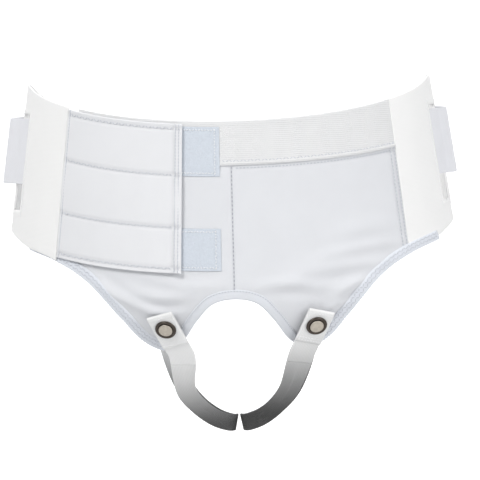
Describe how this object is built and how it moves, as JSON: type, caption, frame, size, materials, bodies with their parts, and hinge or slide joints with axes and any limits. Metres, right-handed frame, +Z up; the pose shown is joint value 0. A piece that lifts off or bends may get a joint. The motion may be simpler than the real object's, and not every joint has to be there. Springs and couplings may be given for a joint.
{
  "type": "groin support belt",
  "caption": "Wide white elastic groin support belt with a hook-and-loop front flap, padded front pockets, a cut-out arch and leg straps with press studs.",
  "frame": {"origin": "on the vertical axis of the wearer's torso, at the level 29.5 mm below the top edge at the middle of the front", "axes": "+Z up, -Y is the front of the belt, +X is the wearer's left side"},
  "size_m": [0.3459, 0.2323, 0.271],
  "materials": {
    "ribbed_elastic": "fine horizontal ribs, matt white",
    "cotton_twill": "fine weave, matt white",
    "flap_cloth": "laminated jersey over foam, matt white",
    "plain_elastic": "woven elastic, warm matt white",
    "strap_elastic": "narrow woven elastic, matt white",
    "loop_tape": "brushed loop pile, faint blue white",
    "hook_tape": "moulded nylon hooks",
    "binding_tape": "folded bias tape, matt white",
    "edging_elastic": "picot elastic with zigzag stitching",
    "lining_mesh": "soft lining cloth",
    "pad_foam": "closed foam with a cloth skin",
    "snap_metal": "nickel plate, warm satin"
  },
  "bodies": {
    "root": {"waistband_front": "ribbed_elastic", "back_elastic": "plain_elastic", "loop_pad_upper": "loop_tape", "loop_pad_lower": "loop_tape", "arch_binding": "binding_tape", "front_panel_right": "cotton_twill", "leg_edging_right": "edging_elastic", "pocket_lining_right": "lining_mesh", "side_elastic_right": "plain_elastic", "side_strap_right": "strap_elastic", "side_loop_right": "loop_tape", "snap_stud_right": "snap_metal", "snap_back_right": "snap_metal", "leg_strap_right": "strap_elastic", "strap_anchor_right": "plain_elastic", "front_panel_left": "cotton_twill", "leg_edging_left": "edging_elastic", "pocket_lining_left": "lining_mesh", "side_elastic_left": "plain_elastic", "side_strap_left": "strap_elastic", "side_loop_left": "loop_tape", "snap_stud_left": "snap_metal", "snap_back_left": "snap_metal", "leg_strap_left": "strap_elastic", "strap_anchor_left": "plain_elastic"},
    "closure_flap": {"closure_flap": "flap_cloth", "flap_edge_binding": "binding_tape", "hook_strip_upper": "hook_tape", "hook_strip_lower": "hook_tape"},
    "strap_end_right": {"strap_tab_right": "strap_elastic", "snap_cap_right": "snap_metal", "snap_socket_right": "snap_metal"},
    "foam_pad_right": {"foam_pad_right": "pad_foam"},
    "side_tab_right": {"side_tab_right": "strap_elastic", "side_hook_right": "hook_tape"},
    "strap_end_left": {"strap_tab_left": "strap_elastic", "snap_cap_left": "snap_metal", "snap_socket_left": "snap_metal"},
    "foam_pad_left": {"foam_pad_left": "pad_foam"},
    "side_tab_left": {"side_tab_left": "strap_elastic", "side_hook_left": "hook_tape"}
  },
  "joints": [
    {"name": "flap_peel", "type": "hinge", "parent": "root", "child": "closure_flap", "pos_m": [-0.12531, -0.07279, -0.013], "axis": [-0.1103, -0.051, -0.9926], "range_deg": [0, 110]},
    {"name": "snap_peel_right", "type": "hinge", "parent": "root", "child": "strap_end_right", "pos_m": [-0.04018, -0.09396, -0.1414], "axis": [0.9079, -0.3404, 0.2445], "range_deg": [0, 85]},
    {"name": "pad_slide_right", "type": "slide", "parent": "root", "child": "foam_pad_right", "axis": [0.0564, 0.0733, 0.9957], "range_m": [0, 0.085]},
    {"name": "side_tab_peel_right", "type": "hinge", "parent": "root", "child": "side_tab_right", "pos_m": [-0.14706, 0.04789, 0.0085], "axis": [0.1302, -0.0335, 0.9909], "range_deg": [0, 100]},
    {"name": "snap_peel_left", "type": "hinge", "parent": "root", "child": "strap_end_left", "pos_m": [0.04856, -0.09242, -0.1416], "axis": [0.9053, 0.3597, -0.2258], "range_deg": [0, 85]},
    {"name": "pad_slide_left", "type": "slide", "parent": "root", "child": "foam_pad_left", "axis": [-0.0564, 0.0733, 0.9957], "range_m": [0, 0.085]},
    {"name": "side_tab_peel_left", "type": "hinge", "parent": "root", "child": "side_tab_left", "pos_m": [0.14706, 0.04789, 0.0085], "axis": [0.1302, 0.0335, -0.9909], "range_deg": [0, 100]}
  ]
}
